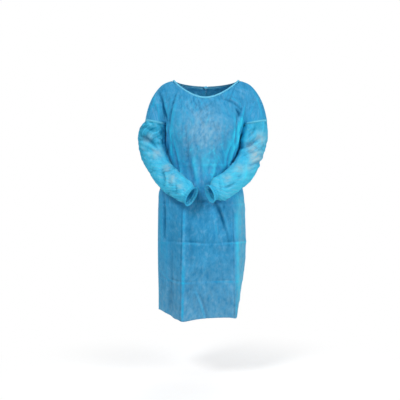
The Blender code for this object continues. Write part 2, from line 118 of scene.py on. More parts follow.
# Greyish pale patches of the forearms.
PALE_PATCHES = table(
    "x z reach strength",
    (-0.215, -0.330, 0.024, 0.75),
    (-0.168, -0.395, 0.017, 0.75),
    (-0.140, -0.446, 0.020, 0.75),
    (-0.105, -0.480, 0.014, 0.60),
    (-0.246, -0.250, 0.016, 0.35),
    (0.215, -0.300, 0.022, 0.75),
    (0.158, -0.398, 0.022, 0.75),
    (0.102, -0.446, 0.018, 0.70),
    (0.262, -0.255, 0.026, 0.80),
    (0.245, -0.335, 0.028, 1.00),
    (0.225, -0.360, 0.020, 0.70),
    (0.205, -0.395, 0.018, 0.50),
    (-0.268, -0.270, 0.020, 0.35),
)
# Broad patches of painted light and shade on the torso: lighter (on the front only), or darker below zero,
# and paler. The belly and flanks are painted lighter against the shade they stand in.
GLOWS = table(
    "x z reach_x reach_z tone pale",
    (0.000, -0.230, 0.090, 0.090, 0.00, 0.42),  # chest
    (0.000, -0.380, 0.110, 0.090, 1.40, 0.10),  # belly
    (0.000, -0.120, 0.090, 0.040, -0.34, 0.00),  # below the neck
    (-0.130, -0.190, 0.060, 0.100, 0.38, 0.00),  # right breast
    (-0.135, -0.270, 0.035, 0.100, 0.40, 0.00),  # flanks
    (0.135, -0.270, 0.035, 0.100, 0.40, 0.00),
)

# Soft folds of the torso in millimetres, from one end to the other as seen from the front or back. bow
# bulges the line sideways at its middle, half_width is where the cloth has dropped to a third, rise is below
# zero for a trough, and tone, which is a plain number, is a painted highlight on its cloth, or painted shade
# below zero.
FOLD_COLUMNS = "x_start z_start x_end z_end bow half_width rise tone"
FRONT_FOLDS = table(
    FOLD_COLUMNS,
    # shoulders and armpits
    (-204, -50, -184, -166, 6, 6, -5.5, -1.15),
    (-226, -85, -205, -172, 4, 6, 4, 0.5),
    (-224, -40, -252, -140, 3, 5, 2.5, 0.45),
    (228, -32, 270, -155, 6, 4.5, 2.8, 0.75),
    (252, -70, 212, -150, -4, 5, 2.5, 0.45),
    (-186, -120, -170, -178, 2, 5.5, -7, -1.3),
    (-131, -65, -163, -235, -6, 5.2, -5, -1.1),
    (-123, -80, -150, -235, -6, 6, 3, 0.5),
    (-145, -90, -176, -300, -4, 7, 4, 0.45),
    (-184, -200, -168, -320, 4, 7, -5, -0.7),
    (-158, -250, -118, -420, 6, 8, -5, -0.6),
    (-140, -270, -100, -450, 4, 8, 4, 0.55),
    (-160, -190, -150, -330, 3, 4.5, 2.8, 0.75),
    (88, -83, 168, -130, 10, 7, -5, -0.6),
    (100, -77, 176, -118, 10, 6, 4, 0.6),
    (146, -130, 166, -156, 2, 6, -7, -1.1),
    (190, -100, 166, -215, -4, 6, 5, 0.7),
    (176, -120, 150, -220, -6, 6.5, -4, -0.6),
    (170, -215, 158, -330, 4, 7, -5, -0.6),
    (160, -250, 108, -430, -10, 7.5, 4.5, 0.85),
    (156, -170, 146, -340, 3, 4.5, 3, 0.8),
    (172, -185, 94, -430, -16, 17, 0.6, 0.85),
    (149, -160, 139, -300, 2, 2.8, -2, -0.7),
    (122, -300, 106, -400, -3, 2.6, -2, -0.7),
    (136, -480, 150, -600, 0, 30, 0.4, 0.45),
    (-172, -260, -140, -400, 6, 12, 0.5, 0.45),
    (140, -150, 128, -350, 4, 4.5, 2.5, 0.55),
    (150, -240, 100, -450, -10, 7.5, -4.5, -0.45),
    # chest and belly
    (-23, -165, -2, -222, 2, 5, -2.5, -0.35),
    (20, -170, -4, -235, 0, 5, 2.5, 0.35),
    (34, -180, 52, -240, 2, 5, -2.5, -0.25),
    (-60, -170, -40, -250, 3, 6, 2.5, 0.35),
    (-44, -200, -50, -290, 3, 6, -2.5, -0.3),
    (-8, -240, 6, -300, 2, 5, -2.2, -0.3),
    (22, -225, 30, -330, 3, 6, 2.5, 0.3),
    (62, -200, 56, -360, 4, 8, -3, -0.25),
    (92, -190, 80, -350, -6, 8, 2.8, 0.25),
    (-92, -190, -84, -330, 5, 8, -2.8, -0.2),
    (-76, -300, -44, -500, -4, 12, -5, -0.7),
    (-56, -310, -30, -470, -3, 9, 3.5, 0.3),
    (-25, -355, -12, -495, 2, 9, -4.5, -0.6),
    (36, -330, 22, -480, -3, 8, -3, -0.25),
    (60, -330, 40, -480, -4, 8, 3, 0.25),
    # skirt
    (-186, -525, -184, -710, 3, 8, -6, -0.8),
    (-200, -540, -198, -760, 3, 8, 4, 0.35),
    (54, -560, 92, -670, 4, 8, -6, -0.8),
    (66, -560, 108, -690, 4, 8, 4.5, 0.4),
    (94, -640, 110, -760, 3, 7, -3, -0.3),
    (40, -580, 56, -720, 3, 8, 3, 0.4),
    (-142, -912, -203, -868, 3, 5, 3.5, 0.45),
    (-36, -955, 4, -1078, 4, 4, 3.5, 0.95),
    (-24, -950, 16, -1078, 4, 5, -2, -0.3),
    (150, -600, 160, -1000, -4, 9, 4, 0.55),
    (176, -580, 172, -860, 3, 7, -3, -0.25),
    (-150, -720, -160, -1060, 4, 12, -5, -0.35),
    (-70, -640, -60, -820, 3, 9, -2.5, -0.2),
    (10, -760, 0, -930, -4, 10, 2.5, 0.2),
    (70, -780, 82, -930, 3, 9, -2.5, -0.15),
)
BACK_FOLDS = table(
    FOLD_COLUMNS,
    (-110, -60, -150, -230, -6, 8, -4.5, -0.6),
    (110, -60, 150, -240, 6, 8, -4.5, -0.6),
    (-90, -80, -110, -260, -4, 8, 3.5, 0.35),
    (92, -90, 120, -280, 4, 8, 3.5, 0.35),
    (30, -60, 50, -230, 3, 7, -2.5, -0.3),
    (-50, -70, -42, -200, 3, 7, 2.5, 0.25),
    (-150, -330, -100, -415, 6, 6, -4, -0.45),
    (-120, -340, -80, -420, 4, 6, 3, 0.3),
    (140, -320, 100, -415, -6, 6, -4, -0.45),
    (100, -350, 70, -420, -4, 6, 3, 0.3),
    (-50, -320, -30, -412, 2, 6, -3.5, -0.4),
    (40, -330, 30, -412, 2, 6, -3.5, -0.4),
    (-105, -440, -120, -640, -4, 8, -4.5, -0.45),
    (-70, -440, -76, -700, -3, 8, 4, 0.35),
    (-40, -440, -46, -600, 2, 7, -3.5, -0.35),
    (30, -440, 32, -620, 2, 7, 3.5, 0.3),
    (70, -440, 78, -680, 3, 8, -4.5, -0.45),
    (110, -440, 126, -640, 4, 8, 3.5, 0.3),
    (-160, -460, -170, -800, 4, 9, 4, 0.35),
    (150, -460, 160, -780, -4, 9, -4, -0.35),
    (10, -760, 4, -1040, 4, 9, -3, -0.25),
    (-100, -820, -108, -1070, 3, 8, 3.5, 0.3),
    (100, -840, 112, -1060, 3, 8, 3.5, 0.3),
)
# Folds of the sleeves, in the same columns, on the side that faces -Y and on the side that faces +Y.
SLEEVE_FRONT_FOLDS = table(
    FOLD_COLUMNS,
    (-290, -200, -240, -225, 3, 6, -3.5, -0.4),
    (-284, -215, -225, -245, 4, 6, 3.5, 0.3),
    (-292, -245, -226, -288, 4, 8, -6, -0.9),
    (-288, -272, -222, -305, 3, 7, 4.5, 0.5),
    (-270, -300, -215, -322, 3, 6, -3, -0.35),
    (-276, -330, -220, -340, 4, 7, 3.5, 0.3),
    (-262, -355, -205, -358, 4, 6, -3, -0.3),
    (-242, -390, -195, -385, 3, 6, 3, 0.25),
    (-188, -414, -180, -470, 6, 8.5, -5, -0.65),
    (-189, -420, -146, -408, 4, 5, -4, -0.6),
    (-174, -425, -168, -478, 3, 6, 4, 0.45),
    (-150, -430, -128, -420, 2, 5, -3.5, -0.5),
    (-130, -460, -124, -510, 3, 6, -3.5, -0.45),
    (-114, -450, -96, -440, 3, 6, 3, 0.25),
    (-104, -490, -98, -530, 2, 6, 3.5, 0.3),
    (276, -180, 262, -250, 4, 5, 3, 0.55),
    (192, -200, 174, -300, 3, 14, 0.6, 1.1),
    (232, -205, 212, -245, 4, 5, -3, -0.45),
    (166, -302, 256, -256, -6, 8, -6, -0.85),
    (170, -318, 262, -272, -4, 7, 4.5, 0.5),
    (176, -340, 244, -318, 4, 6, -3, -0.3),
    (180, -362, 250, -345, 4, 7, 3.5, 0.25),
    (186, -235, 236, -215, 3, 6, -3, -0.35),
    (268, -366, 205, -382, 2, 7.5, -7.5, -0.45),
    (272, -346, 215, -362, 2, 7.5, 4.5, 0.35),
    (-296, -262, -262, -272, 2, 7.5, -5, -0.35),
    (146, -372, 196, -376, 4, 6, -3.5, -0.35),
    (128, -400, 190, -412, 3, 7, 3.5, 0.25),
    (140, -430, 182, -446, 2, 6, -3, -0.3),
    (86, -484, 136, -466, -3, 6.5, -4.5, -0.8),
    (90, -430, 104, -462, 3, 6, -3, -0.35),
    (72, -440, 84, -500, 3, 5.5, 3.5, 0.35),
    (62, -450, 70, -505, 2, 5, -3.5, -0.5),
)
SLEEVE_BACK_FOLDS = table(
    FOLD_COLUMNS,
    (-292, -240, -200, -260, -4, 8, -5, -0.6),
    (-288, -280, -196, -290, 4, 8, 4, 0.35),
    (-270, -330, -190, -318, 4, 8, -5, -0.6),
    (-250, -380, -170, -350, 4, 8, 4, 0.35),
    (-220, -430, -160, -380, 4, 8, -5, -0.6),
    (-170, -480, -130, -430, 4, 7, 3.5, 0.35),
    (-130, -510, -100, -460, 3, 6, -3.5, -0.4),
    (290, -235, 200, -255, 4, 8, -5, -0.6),
    (285, -275, 196, -285, 4, 8, 4, 0.35),
    (268, -325, 190, -315, 4, 8, -5, -0.6),
    (268, -366, 225, -372, 2, 7.5, -7.5, -0.3),
    (272, -346, 230, -352, 2, 7.5, 4.5, 0.3),
    (250, -375, 170, -345, 4, 8, 4, 0.35),
    (215, -425, 150, -375, 4, 8, -5, -0.6),
    (160, -470, 110, -425, 4, 7, 3.5, 0.35),
    (110, -500, 80, -455, 3, 6, -3.5, -0.4),
)
# A fold's foot dips by this share of its height, this many half widths away, and its tone is narrower.
FOOT_DIP, FOOT_AWAY, TONE_REACH = 0.45, 1.7, 0.877
# Sharp creases from the way the gown was folded in its packet, across and down, and how bright each is
# painted, as a painted highlight.
PACKED_ACROSS = table("z tone", (-0.385, 0.85), (-0.560, 0.70), (-0.737, 1.60), (-0.909, 1.30))
DOWN_FRONT = table("waist_x hem_x tone", (-0.092, -0.100, 1.00), (0.136, 0.144, 0.55))
DOWN_BACK = table("waist_x hem_x tone", (-0.110, -0.118, 1.00), (0.112, 0.118, 0.55))
ACROSS_HEIGHT, ACROSS_WIDTH = 0.0022, 0.0045
DOWN_HEIGHT, DOWN_WIDTH = 0.0030, 0.0055


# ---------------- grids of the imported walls
def outward_face(node, rim_edge):
    """Welded points and triangles of the outward face of a CAD wall, without its rim and inner face."""
    shape = bmesh.new()
    shape.from_mesh(node.data)
    bmesh.ops.remove_doubles(shape, verts=shape.verts, dist=1e-5)
    rim = [f for f in shape.faces if min(e.calc_length() for e in f.edges) < rim_edge]
    bmesh.ops.delete(shape, geom=rim, context="FACES_ONLY")
    unseen, islands = set(shape.faces), []
    while unseen:
        reached, stack = [], [min(unseen, key=lambda f: f.index)]
        unseen.discard(stack[0])
        while stack:
            face = stack.pop()
            reached.append(face)
            for near in {n for e in face.edges for n in e.link_faces} & unseen:
                unseen.discard(near)
                stack.append(near)
        islands.append(reached)
    outer = max(islands, key=lambda faces: sum(f.calc_area() for f in faces))
    points = np.array([v.co[:] for v in shape.verts])
    triangles = sorted(tuple(v.index for v in f.verts) for f in outer)
    shape.free()
    return points, triangles


def wall_grid(name, start, end=None, rim_edge=RIM):
    """Rows of points on the outward face of a CAD wall. The first row runs along its rim between the rim's
    corners near start and end, given as X and Z, or all round from near start where the wall is a tube."""
    points, triangles = outward_face(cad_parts[name], rim_edge)
    sides = {}
    for triangle in triangles:
        for a, b in zip(triangle, triangle[1:] + triangle[:1]):
            sides[a, b] = triangle
    after = {a: b for a, b in sides if (b, a) not in sides}
    before = {b: a for a, b in after.items()}

    def turn(v):
        there, back = points[after[v]] - points[v], points[before[v]] - points[v]
        return there @ back / (np.linalg.norm(there) * np.linalg.norm(back))

    def corner(place):
        away = {v: np.linalg.norm(points[v][[0, 2]] - place) for v in after}
        return max(after, key=lambda v: (turn(v) if end else 0) - away[v] / CORNER_REACH)

    first = corner(start)
    last = corner(end) if end else first
    row = [first, after[first]]
    while row[-1] != last:
        row.append(after[row[-1]])
    rows, used = [row], 0
    while used < len(triangles):
        p, at = row[0], 0
        if end:
            q = before[p]
        else:
            beside = {b for a, b in sides if a == p} - {v for r in rows for v in r}
            q = min(beside, key=lambda v: np.linalg.norm(points[v] - points[p]))
        following = [q]
        for _ in range(2 * len(row) - 2):
            third = next(v for v in sides[q, p] if v not in (p, q))
            used += 1
            if at < len(row) - 1 and third == row[at + 1]:
                p, at = third, at + 1
            else:
                q = third
                following.append(q)
        row = following
        rows.append(row)
    grid = points[np.array(rows)]
    return grid if end else grid[:, :-1]


def unit(vectors):
    """The vectors at a length of one."""
    return vectors / np.maximum(np.linalg.norm(vectors, axis=-1, keepdims=True), 1e-12)


def smooth_curve(at, keys, values, cornered=False):
    """Cubic through rows of points along their first axis, with the slope at each key taken from its
    neighbours. Where it is cornered, a sharp turn stays a corner and doesn't swing past its edges."""
    steps = np.diff(keys).reshape(-1, 1, 1)
    straight = np.diff(values, axis=0) / steps
    slopes = np.gradient(values, keys, axis=0)
    corner = np.zeros((*values.shape[:2], 1))
    if cornered:
        way = unit(straight)
        turn = (way[1:] * way[:-1]).sum(axis=2, keepdims=True)
        corner[1:-1] = np.clip((CORNER_STARTS - turn) / (CORNER_STARTS - CORNER_SHARP), 0, 1)
    leaving = slopes[:-1] + corner[:-1] * (straight - slopes[:-1])
    arriving = slopes[1:] + corner[1:] * (straight - slopes[1:])
    i = np.clip(np.searchsorted(keys, at) - 1, 0, len(keys) - 2)
    step = steps[i]
    u = (at - keys[i]).reshape(-1, 1, 1) / step
    return (
        values[i] * (1 + 2 * u) * (1 - u) ** 2
        + leaving[i] * step * u * (1 - u) ** 2
        + values[i + 1] * u * u * (3 - 2 * u)
        + arriving[i] * step * u * u * (u - 1)
    )


def mean_run(grid, axis):
    """Mean distance along a grid's lines from their first point to each later one."""
    steps = np.linalg.norm(np.diff(grid, axis=axis), axis=2).mean(axis=1 - axis)
    return np.concatenate([[0], np.cumsum(steps)])


def refined(grid, step, closed=False, row_step=None, cornered=False):
    """The grid with its points about step apart."""
    if closed:
        wrapped = np.concatenate([grid[:, -3:], grid, grid[:, :4]], axis=1)
        run = mean_run(wrapped, 1)
        run -= run[3]
        size = run[3 + grid.shape[1]]
        across = np.linspace(0, size, max(round(size / step), 8) + 1)
        fine = smooth_curve(across, run, np.swapaxes(wrapped, 0, 1))[:-1]
    else:
        run = mean_run(grid, 1)
        across = np.linspace(0, run[-1], max(round(run[-1] / step), 2) + 1)
        fine = smooth_curve(across, run, np.swapaxes(grid, 0, 1), cornered)
    fine = np.swapaxes(fine, 0, 1)
    run = mean_run(fine, 0)
    along = np.linspace(0, run[-1], max(round(run[-1] / (row_step or step)), 2) + 1)
    return smooth_curve(along, run, fine)


def cloth_places(grid, closed=False):
    """Each point's distances over the cloth: across from the middle column, or from the first one of a tube,
    which has its last column again at its full way round, and along from the first row."""
    if closed:
        grid = np.concatenate([grid, grid[:, :1]], axis=1)
    across = np.zeros(grid.shape[:2])
    across[:, 1:] = np.cumsum(np.linalg.norm(np.diff(grid, axis=1), axis=2), axis=1)
    if not closed:
        across -= across[:, grid.shape[1] // 2, None]
    along = np.zeros(grid.shape[:2])
    along[1:] = np.cumsum(np.linalg.norm(np.diff(grid, axis=0), axis=2), axis=0)
    return across, along


def averaged(grid, closed, times):
    """The grid with each point moved towards the mean of its neighbours, so many times. Its edges stay."""
    for _ in range(times):
        grid = grid.copy()
        if closed:
            grid = (2 * grid + np.roll(grid, 1, axis=1) + np.roll(grid, -1, axis=1)) / 4
        else:
            grid[:, 1:-1] = (2 * grid[:, 1:-1] + grid[:, :-2] + grid[:, 2:]) / 4
        grid[1:-1] = (2 * grid[1:-1] + grid[:-2] + grid[2:]) / 4
    return grid


def normals_of(grid, closed=False, evened=0):
    """Unit normals of a grid of points, out of the gown, evened out over so many neighbours."""
    across = np.gradient(grid, axis=1)
    if closed:
        across = (np.roll(grid, -1, axis=1) - np.roll(grid, 1, axis=1)) / 2
    normal = np.cross(across, np.gradient(grid, axis=0))
    return unit(averaged(unit(normal), closed, evened))


# ---------------- folds, creases and crinkles
def bell(value, middle, reach):
    """1 at the middle, falling away on both sides to about a third at the reach."""
    return np.exp(-(((value - middle) / reach) ** 2))


def ramp(value, start, end):
    """0 up to the start, 1 past the end, and a straight rise between them."""
    return np.clip((value - start) / (end - start), 0, 1)


def soft_folds(grid, folds):
    """Height and tone that soft folds give each point. A fold fades at its ends, and its foot dips."""
    place = grid[..., [0, 2]]
    height = np.zeros(grid.shape[:2])
    tone = np.zeros(grid.shape[:2])
    for row in folds:
        fold = {column: size / 1000 for column, size in row.items()}
        start = np.array([fold["x_start"], fold["z_start"]])
        run = np.array([fold["x_end"], fold["z_end"]]) - start
        length = np.linalg.norm(run)
        side = np.array([-run[1], run[0]]) / length
        share = ((place - start) @ run) / length**2
        arch = np.sin(math.pi * np.clip(share, 0, 1))
        away = ((place - start) @ side - fold["bow"] * arch) / fold["half_width"]
        over = np.maximum(np.abs(share - 0.5) - 0.5, 0) * length
        fade = bell(over, 0, 1.5 * fold["half_width"]) * (0.55 + 0.45 * arch)
        height += fold["rise"] * (bell(away, 0, 1) - FOOT_DIP * bell(away, FOOT_AWAY, 1)) * fade
        tone += row["tone"] * bell(away, 0, TONE_REACH) * fade
    return height, tone


def sharp_crease(away, width):
    """A ridge with a narrow top, by the distance from its line."""
    return np.exp(-np.sqrt(away**2 + (0.25 * width) ** 2) / width)


def packing_creases(grid, down):
    """Height and tone of the packet's creases on a torso panel: a painted highlight along each crease, and
    painted shade in a darker line beside it.
    """
    x, z = grid[..., 0], grid[..., 2]
    height = np.zeros(grid.shape[:2])
    tone = np.zeros(grid.shape[:2])
    for i, crease in enumerate(PACKED_ACROSS):
        line = z - crease["z"] - 0.003 * np.sin(x * 23 + i * 2.1)
        patchy = 0.30 + 0.70 * np.clip(0.5 + 0.9 * np.sin(x * 31 + 1.7 * i), 0, 1)
        beside = sharp_crease(line - 2 * ACROSS_WIDTH, ACROSS_WIDTH)
        height += ACROSS_HEIGHT * sharp_crease(line, ACROSS_WIDTH)
        tone += crease["tone"] * patchy * (sharp_crease(line, 0.8 * ACROSS_WIDTH) - 0.6 * beside)
    below = ramp(z, -0.575, -0.605)
    brighter = 1.15 + 0.45 * ramp(z, -0.78, -0.86)
    uneven = 0.80 + 0.20 * np.sin(z * 47) + 0.12 * np.sin(z * 131)
    breadth = DOWN_WIDTH + 0.0035 * bell(z, -0.88, 0.07)
    for crease in down:
        line = x - crease["waist_x"] - (crease["hem_x"] - crease["waist_x"]) * ramp(z, -0.58, -1.08)
        height += DOWN_HEIGHT * sharp_crease(line, DOWN_WIDTH) * below
        tone += crease["tone"] * brighter * uneven * bell(line, 0.003, breadth) * below
        tone -= bell(line, -0.0065, 0.0028) * below
    return height, tone


def crumple(grid, places, seed, creases, billow, calm=0.0):
    """Height and tone of handled nonwoven: sets of sharp creases that wander, come and go, and cross, on slow
    billows. calm is from 0 to 1, where the cloth hangs too straight for the creases to show as lines."""
    offset = Vector((seed * 3.7, seed * 1.9, seed * 5.3))
    shape = grid.shape[:2]
    wander, waver, patches = (np.zeros((*shape, 3)) for _ in range(3))
    for index in np.ndindex(*shape):
        place = Vector(grid[index])
        wander[index] = noise.noise_vector(place * WANDER_CELLS + offset)
        waver[index] = noise.noise_vector(place * WAVER_CELLS - offset)
        patches[index] = noise.noise_vector(place * PATCH_CELLS + 2 * offset)
    u, v = (distances[:, : shape[1]] for distances in places)
    height = billow * patches[..., 0]
    tone = 0.30 * patches[..., 1] + 0.20 * waver[..., 0]
    for i, crease in enumerate(creases):
        turn = math.radians(crease["turn"])
        run = u * math.cos(turn) + v * math.sin(turn)
        strayed = run + WANDER * wander[..., i % 3] + WAVER * waver[..., (i + 1) % 3]
        phase = strayed / crease["spacing"]
        top = 1 - 2 * np.abs(phase - np.round(phase))
        shown = np.clip(0.20 + 1.9 * patches[..., (i + 2) % 3], 0, 1) * (1 - calm)
        height += crease["height"] * (top - 0.5) * (0.45 + 0.55 * shown)
        # The tops of the creases are painted lighter, a painted highlight, and their hollows darker, painted
        # shade.
        tone += shown * (0.62 * ramp(top, 0.78, 1) - 0.42 * ramp(top, 0.30, 0))
    return height, tone


def leaning(grid, out):
    """How far each point bulges towards the sleeve or torso beside it."""
    away = np.zeros(grid.shape[:2])
    for lean in LEANS:
        beside = ramp(np.abs(lean["side"] * grid[..., 0] - ARMPIT_X), ARMPIT_REACH, 0)
        near = bell(grid[..., 2], lean["z"], lean["reach"])
        away += lean["lean"] * beside * near * np.clip(np.abs(out[..., 0]), 0, 1) ** 2
    return away


# ---------------- materials
def node_of(tree, kind, inputs=(), **settings):
    """A shader node with its settings, and its inputs as values or as sockets to link from."""
    made = tree.nodes.new("ShaderNode" + kind)
    for key, value in settings.items():
        setattr(made, key, value)
    for key, value in dict(inputs).items():
        if isinstance(value, bpy.types.NodeSocket):
            tree.links.new(value, made.inputs[key])
        else:
            made.inputs[key].default_value = value
    return made


def made_by(*node, **settings):
    """The first output of a new shader node."""
    return node_of(*node, **settings).outputs[0]


def maths(tree, operation, a, b, clamp=False):
    return made_by(tree, "Math", {0: a, 1: b}, operation=operation, use_clamp=clamp)


def mixed(tree, share, a, b):
    """Colours a and b mixed, each as a socket or as red, green and blue."""
    made = node_of(tree, "Mix", data_type="RGBA")
    sockets = {s.identifier: s for s in made.inputs}
    for key, value in (("Factor_Float", share), ("A_Color", a), ("B_Color", b)):
        if isinstance(value, bpy.types.NodeSocket):
            tree.links.new(value, sockets[key])
        else:
            sockets[key].default_value = value if key == "Factor_Float" else (*value, 1.0)
    return next(s for s in made.outputs if s.identifier == "Result_Color")


def plus(tree, a, factor, offset, clamp=False):
    """a times factor plus offset."""
    inputs = {0: a, 1: factor, 2: offset}
    return made_by(tree, "Math", inputs, operation="MULTIPLY_ADD", use_clamp=clamp)


def cloth_noise(tree, cloth, scale, detail, turn=0.0, kind="FBM"):
    """Noise in the cloth's own coordinates, by its cells to the metre across and along."""
    inputs = {"Vector": cloth, "Rotation": (0, 0, turn), "Scale": (*scale, 1)}
    placed = made_by(tree, "Mapping", inputs)
    inputs = {"Vector": placed, "Scale": 1, "Detail": detail, "Roughness": 0.6}
    return made_by(tree, "TexNoise", inputs, noise_type=kind)


def bumped(tree, height, strength, distance, below=None):
    inputs = {"Height": height, "Strength": strength, "Distance": distance}
    if below is not None:
        inputs["Normal"] = below
    return made_by(tree, "Bump", inputs)


BRIGHTEST = (0.050, 0.740, 1.000)  # where light comes through a raised fold
PALEST = (0.420, 0.620, 0.700)
GREYED = (5.0, 0.95, 0.82)  # what turns a deep colour into the greyer one of its patches
# IN_TROUGHS sets the painted shade in troughs.
IN_TROUGHS = 0.55  # how bright a deep colour still is in a trough
STITCH_SHADE = 0.72  # how bright the cloth still is between stitches


def nonwoven(name, base, light, deep, raised, see_through, mottle=1.0, stitches=0.0):
    """Spunbond nonwoven: fibre streaks, cloudy web, bond points, crumple, and the painted light and shade of
    its folds. mottle is how strongly the web shows, and stitches is their scale along the cloth."""
    material = bpy.data.materials.new(name)
    material.use_nodes = True
    tree = material.node_tree
    tree.nodes.clear()
    cloth = made_by(tree, "UVMap", uv_map="cloth")
    tone = node_of(tree, "Attribute", attribute_name="tone").outputs["Fac"]
    pale = node_of(tree, "Attribute", attribute_name="pale").outputs["Fac"]

    def web(across, along, detail, **kind):
        return cloth_noise(tree, cloth, (across, along), detail, **kind)

    def laid(body, over, share, factor, offset):
        """A colour with another one over it, by a share times a factor plus an offset."""
        return mixed(tree, plus(tree, share, factor, offset, True), body, over)

    streaks = web(520, 60, 3)
    crossed = maths(tree, "ADD", streaks, web(300, 60, 2, turn=0.6))
    grain = web(160, 34, 3)
    cloud = web(64, 40, 4)
    clouds = maths(tree, "ADD", cloud, web(17, 10, 3))
    body = mixed(tree, 0.72, laid(deep, light, crossed, 1.5, -1.0), base)
    body = laid(body, light, grain, 1.7 * mottle, -0.95 * mottle)
    body = laid(body, deep, grain, -1.7 * mottle, 0.75 * mottle)
    body = laid(body, light, clouds, 2.6 * mottle, -2.6 * mottle - 0.10)
    body = laid(body, deep, clouds, -2.6 * mottle, 2.6 * mottle - 0.16)
    body = laid(body, light, web(120, 85, 2, kind="RIDGED_MULTIFRACTAL"), 0.24 * mottle, -0.18 * mottle)
    patchy = plus(tree, web(95, 70, 3), 3.2 * mottle, -1.90 * mottle, True)
    body = mixed(tree, maths(tree, "MULTIPLY", patchy, 0.7), body, [c * k for c, k in zip(deep, GREYED)])
    # Painted light and shade: above nought the tone paints the cloth towards the raised colour and then
    # BRIGHTEST, a painted highlight; below nought it paints the cloth darker, as painted shade.
    body = laid(body, raised, tone, 0.55, 0.0)
    body = laid(body, BRIGHTEST, tone, 0.60, -0.60)
    body = laid(body, [c * IN_TROUGHS for c in deep], tone, -0.62, 0.0)
    # Paler towards PALEST by the pale attribute: over the forearms, and as painted light on parts of the
    # torso.
    pale_and_painted_light = maths(tree, "MULTIPLY", pale, plus(tree, cloud, 2.8, -0.6, True), clamp=True)
    body = mixed(tree, pale_and_painted_light, body, PALEST)
    inputs = {"Vector": cloth, "Scale": 620, "Randomness": 0.25}
    bonds = made_by(tree, "TexVoronoi", inputs)
    normal = bumped(tree, web(62, 40, 3, kind="RIDGED_MULTIFRACTAL"), 0.75, 0.0042)
    normal = bumped(tree, web(190, 120, 3), 0.60, 0.0022, normal)
    normal = bumped(tree, bonds, 0.60, 0.0006, normal)
    body = laid(body, light, web(1500, 600, 2, turn=0.3), 1.6, -0.90)
    body = laid(body, deep, bonds, -1.1, 0.42)
    if stitches:
        inputs = {"Vector": cloth, "Scale": stitches, "Distortion": 1.5, "Detail": 1, "Detail Scale": 3}
        wave = node_of(tree, "TexWave", inputs, bands_direction="Y").outputs[1]
        body = mixed(tree, maths(tree, "MULTIPLY", wave, 0.55), body, [c * STITCH_SHADE for c in base])
        normal = bumped(tree, wave, 0.6, 0.0008, normal)
    rough = plus(tree, streaks, 0.2, 0.6)
    inputs = {"Base Color": body, "Roughness": rough, "Normal": normal, "Specular IOR Level": 0.12}
    shader = made_by(tree, "BsdfPrincipled", inputs)
    through = made_by(tree, "BsdfTranslucent", {"Color": body, "Normal": normal})
    both = made_by(tree, "MixShader", {0: see_through, 1: shader, 2: through})
    node_of(tree, "OutputMaterial", {"Surface": both})
    return material


TORSO = nonwoven(
    "torso_nonwoven",
    base=(0.034, 0.350, 0.645),
    light=(0.165, 0.475, 0.745),
    deep=(0.004, 0.245, 0.545),
    raised=(0.016, 0.480, 0.780),
    see_through=0.14,
)
SLEEVE = nonwoven(
    "sleeve_nonwoven",
    base=(0.036, 0.600, 0.885),
    light=(0.280, 0.700, 0.900),
    deep=(0.003, 0.395, 0.735),
    raised=(0.090, 0.725, 0.940),
    see_through=0.22,
    mottle=0.9,
)
TRIM = nonwoven(
    "trim_nonwoven",
    base=(0.150, 0.590, 0.840),
    light=(0.280, 0.710, 0.900),
    deep=(0.040, 0.420, 0.720),
    raised=(0.240, 0.720, 0.920),
    see_through=0.12,
    mottle=0.4,
)
SEAM = nonwoven(
    "seam_nonwoven",
    base=(0.130, 0.640, 0.880),
    light=(0.320, 0.760, 0.930),
    deep=(0.050, 0.480, 0.780),
    raised=(0.300, 0.780, 0.940),
    see_through=0.10,
    mottle=0.4,
    stitches=110.0,
)


# ---------------- shells
def sheet_mesh(name, grid, material, places=None, closed=False, tone=None, pale=None, thickness=CLOTH):
    """A thin shell through a grid, with its cloth coordinates in metres as a UV map."""
    across, along = places or cloth_places(grid, closed)
    rows, columns = grid.shape[:2]
    wide = columns if closed else columns - 1
    faces, corners = [], []
    for r in range(rows - 1):
        for c in range(wide):
            n = (c + 1) % columns
            faces.append((r * columns + c, r * columns + n, (r + 1) * columns + n, (r + 1) * columns + c))
            for i, j in ((r, c), (r, c + 1), (r + 1, c + 1), (r + 1, c)):
                corners.append((across[i, j], along[i, j]))
    mesh = bpy.data.meshes.new(name)
    mesh.from_pydata(grid.reshape(-1, 3).tolist(), [], faces)
    mesh.shade_smooth()
    uv = mesh.uv_layers.new(name="cloth")
    uv.data.foreach_set("uv", np.array(corners, np.float32).ravel())
    for key, values in (("tone", tone), ("pale", pale)):
        held = mesh.attributes.new(key, "FLOAT", "POINT")
        found = np.zeros(rows * columns, np.float32) if values is None else values.astype(np.float32).ravel()
        held.data.foreach_set("value", found)
    mesh.materials.append(material)
    made = bpy.data.objects.new(name, mesh)
    bpy.context.scene.collection.objects.link(made)
    solid = made.modifiers.new("cloth", "SOLIDIFY")
    solid.thickness = thickness
    solid.offset = 0.0
    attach(made, "root")
    return made


def edge_fade(grid, first, last, bottom, top, closed=False):
    """Weights that hold a grid's sewn edges still: its first and last columns, and first and last rows."""
    def run(count, low, high):
        at = np.arange(count)
        weight = np.ones(count)
        if low:
            weight = np.minimum(weight, at / 4)
        if high:
            weight = np.minimum(weight, (count - 1 - at) / 4)
        return np.clip(weight, 0, 1)

    weight = run(grid.shape[0], bottom, top)[:, None]
    if not closed:
        weight = weight * run(grid.shape[1], first, last)[None, :]
    return weight


SHELLS = {}  # each shell's points and normals, for what lies on it


def shell(node, slot, grid, out, lifted, material, **looks):
    """The visual shell that stands in for a CAD wall."""
    moved = grid + out * lifted[..., None]
    SHELLS[node] = (moved, normals_of(moved, looks.get("closed", False)))
    made = sheet_mesh(node + "_cloth", moved, material, **looks)
    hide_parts(node)
    return made


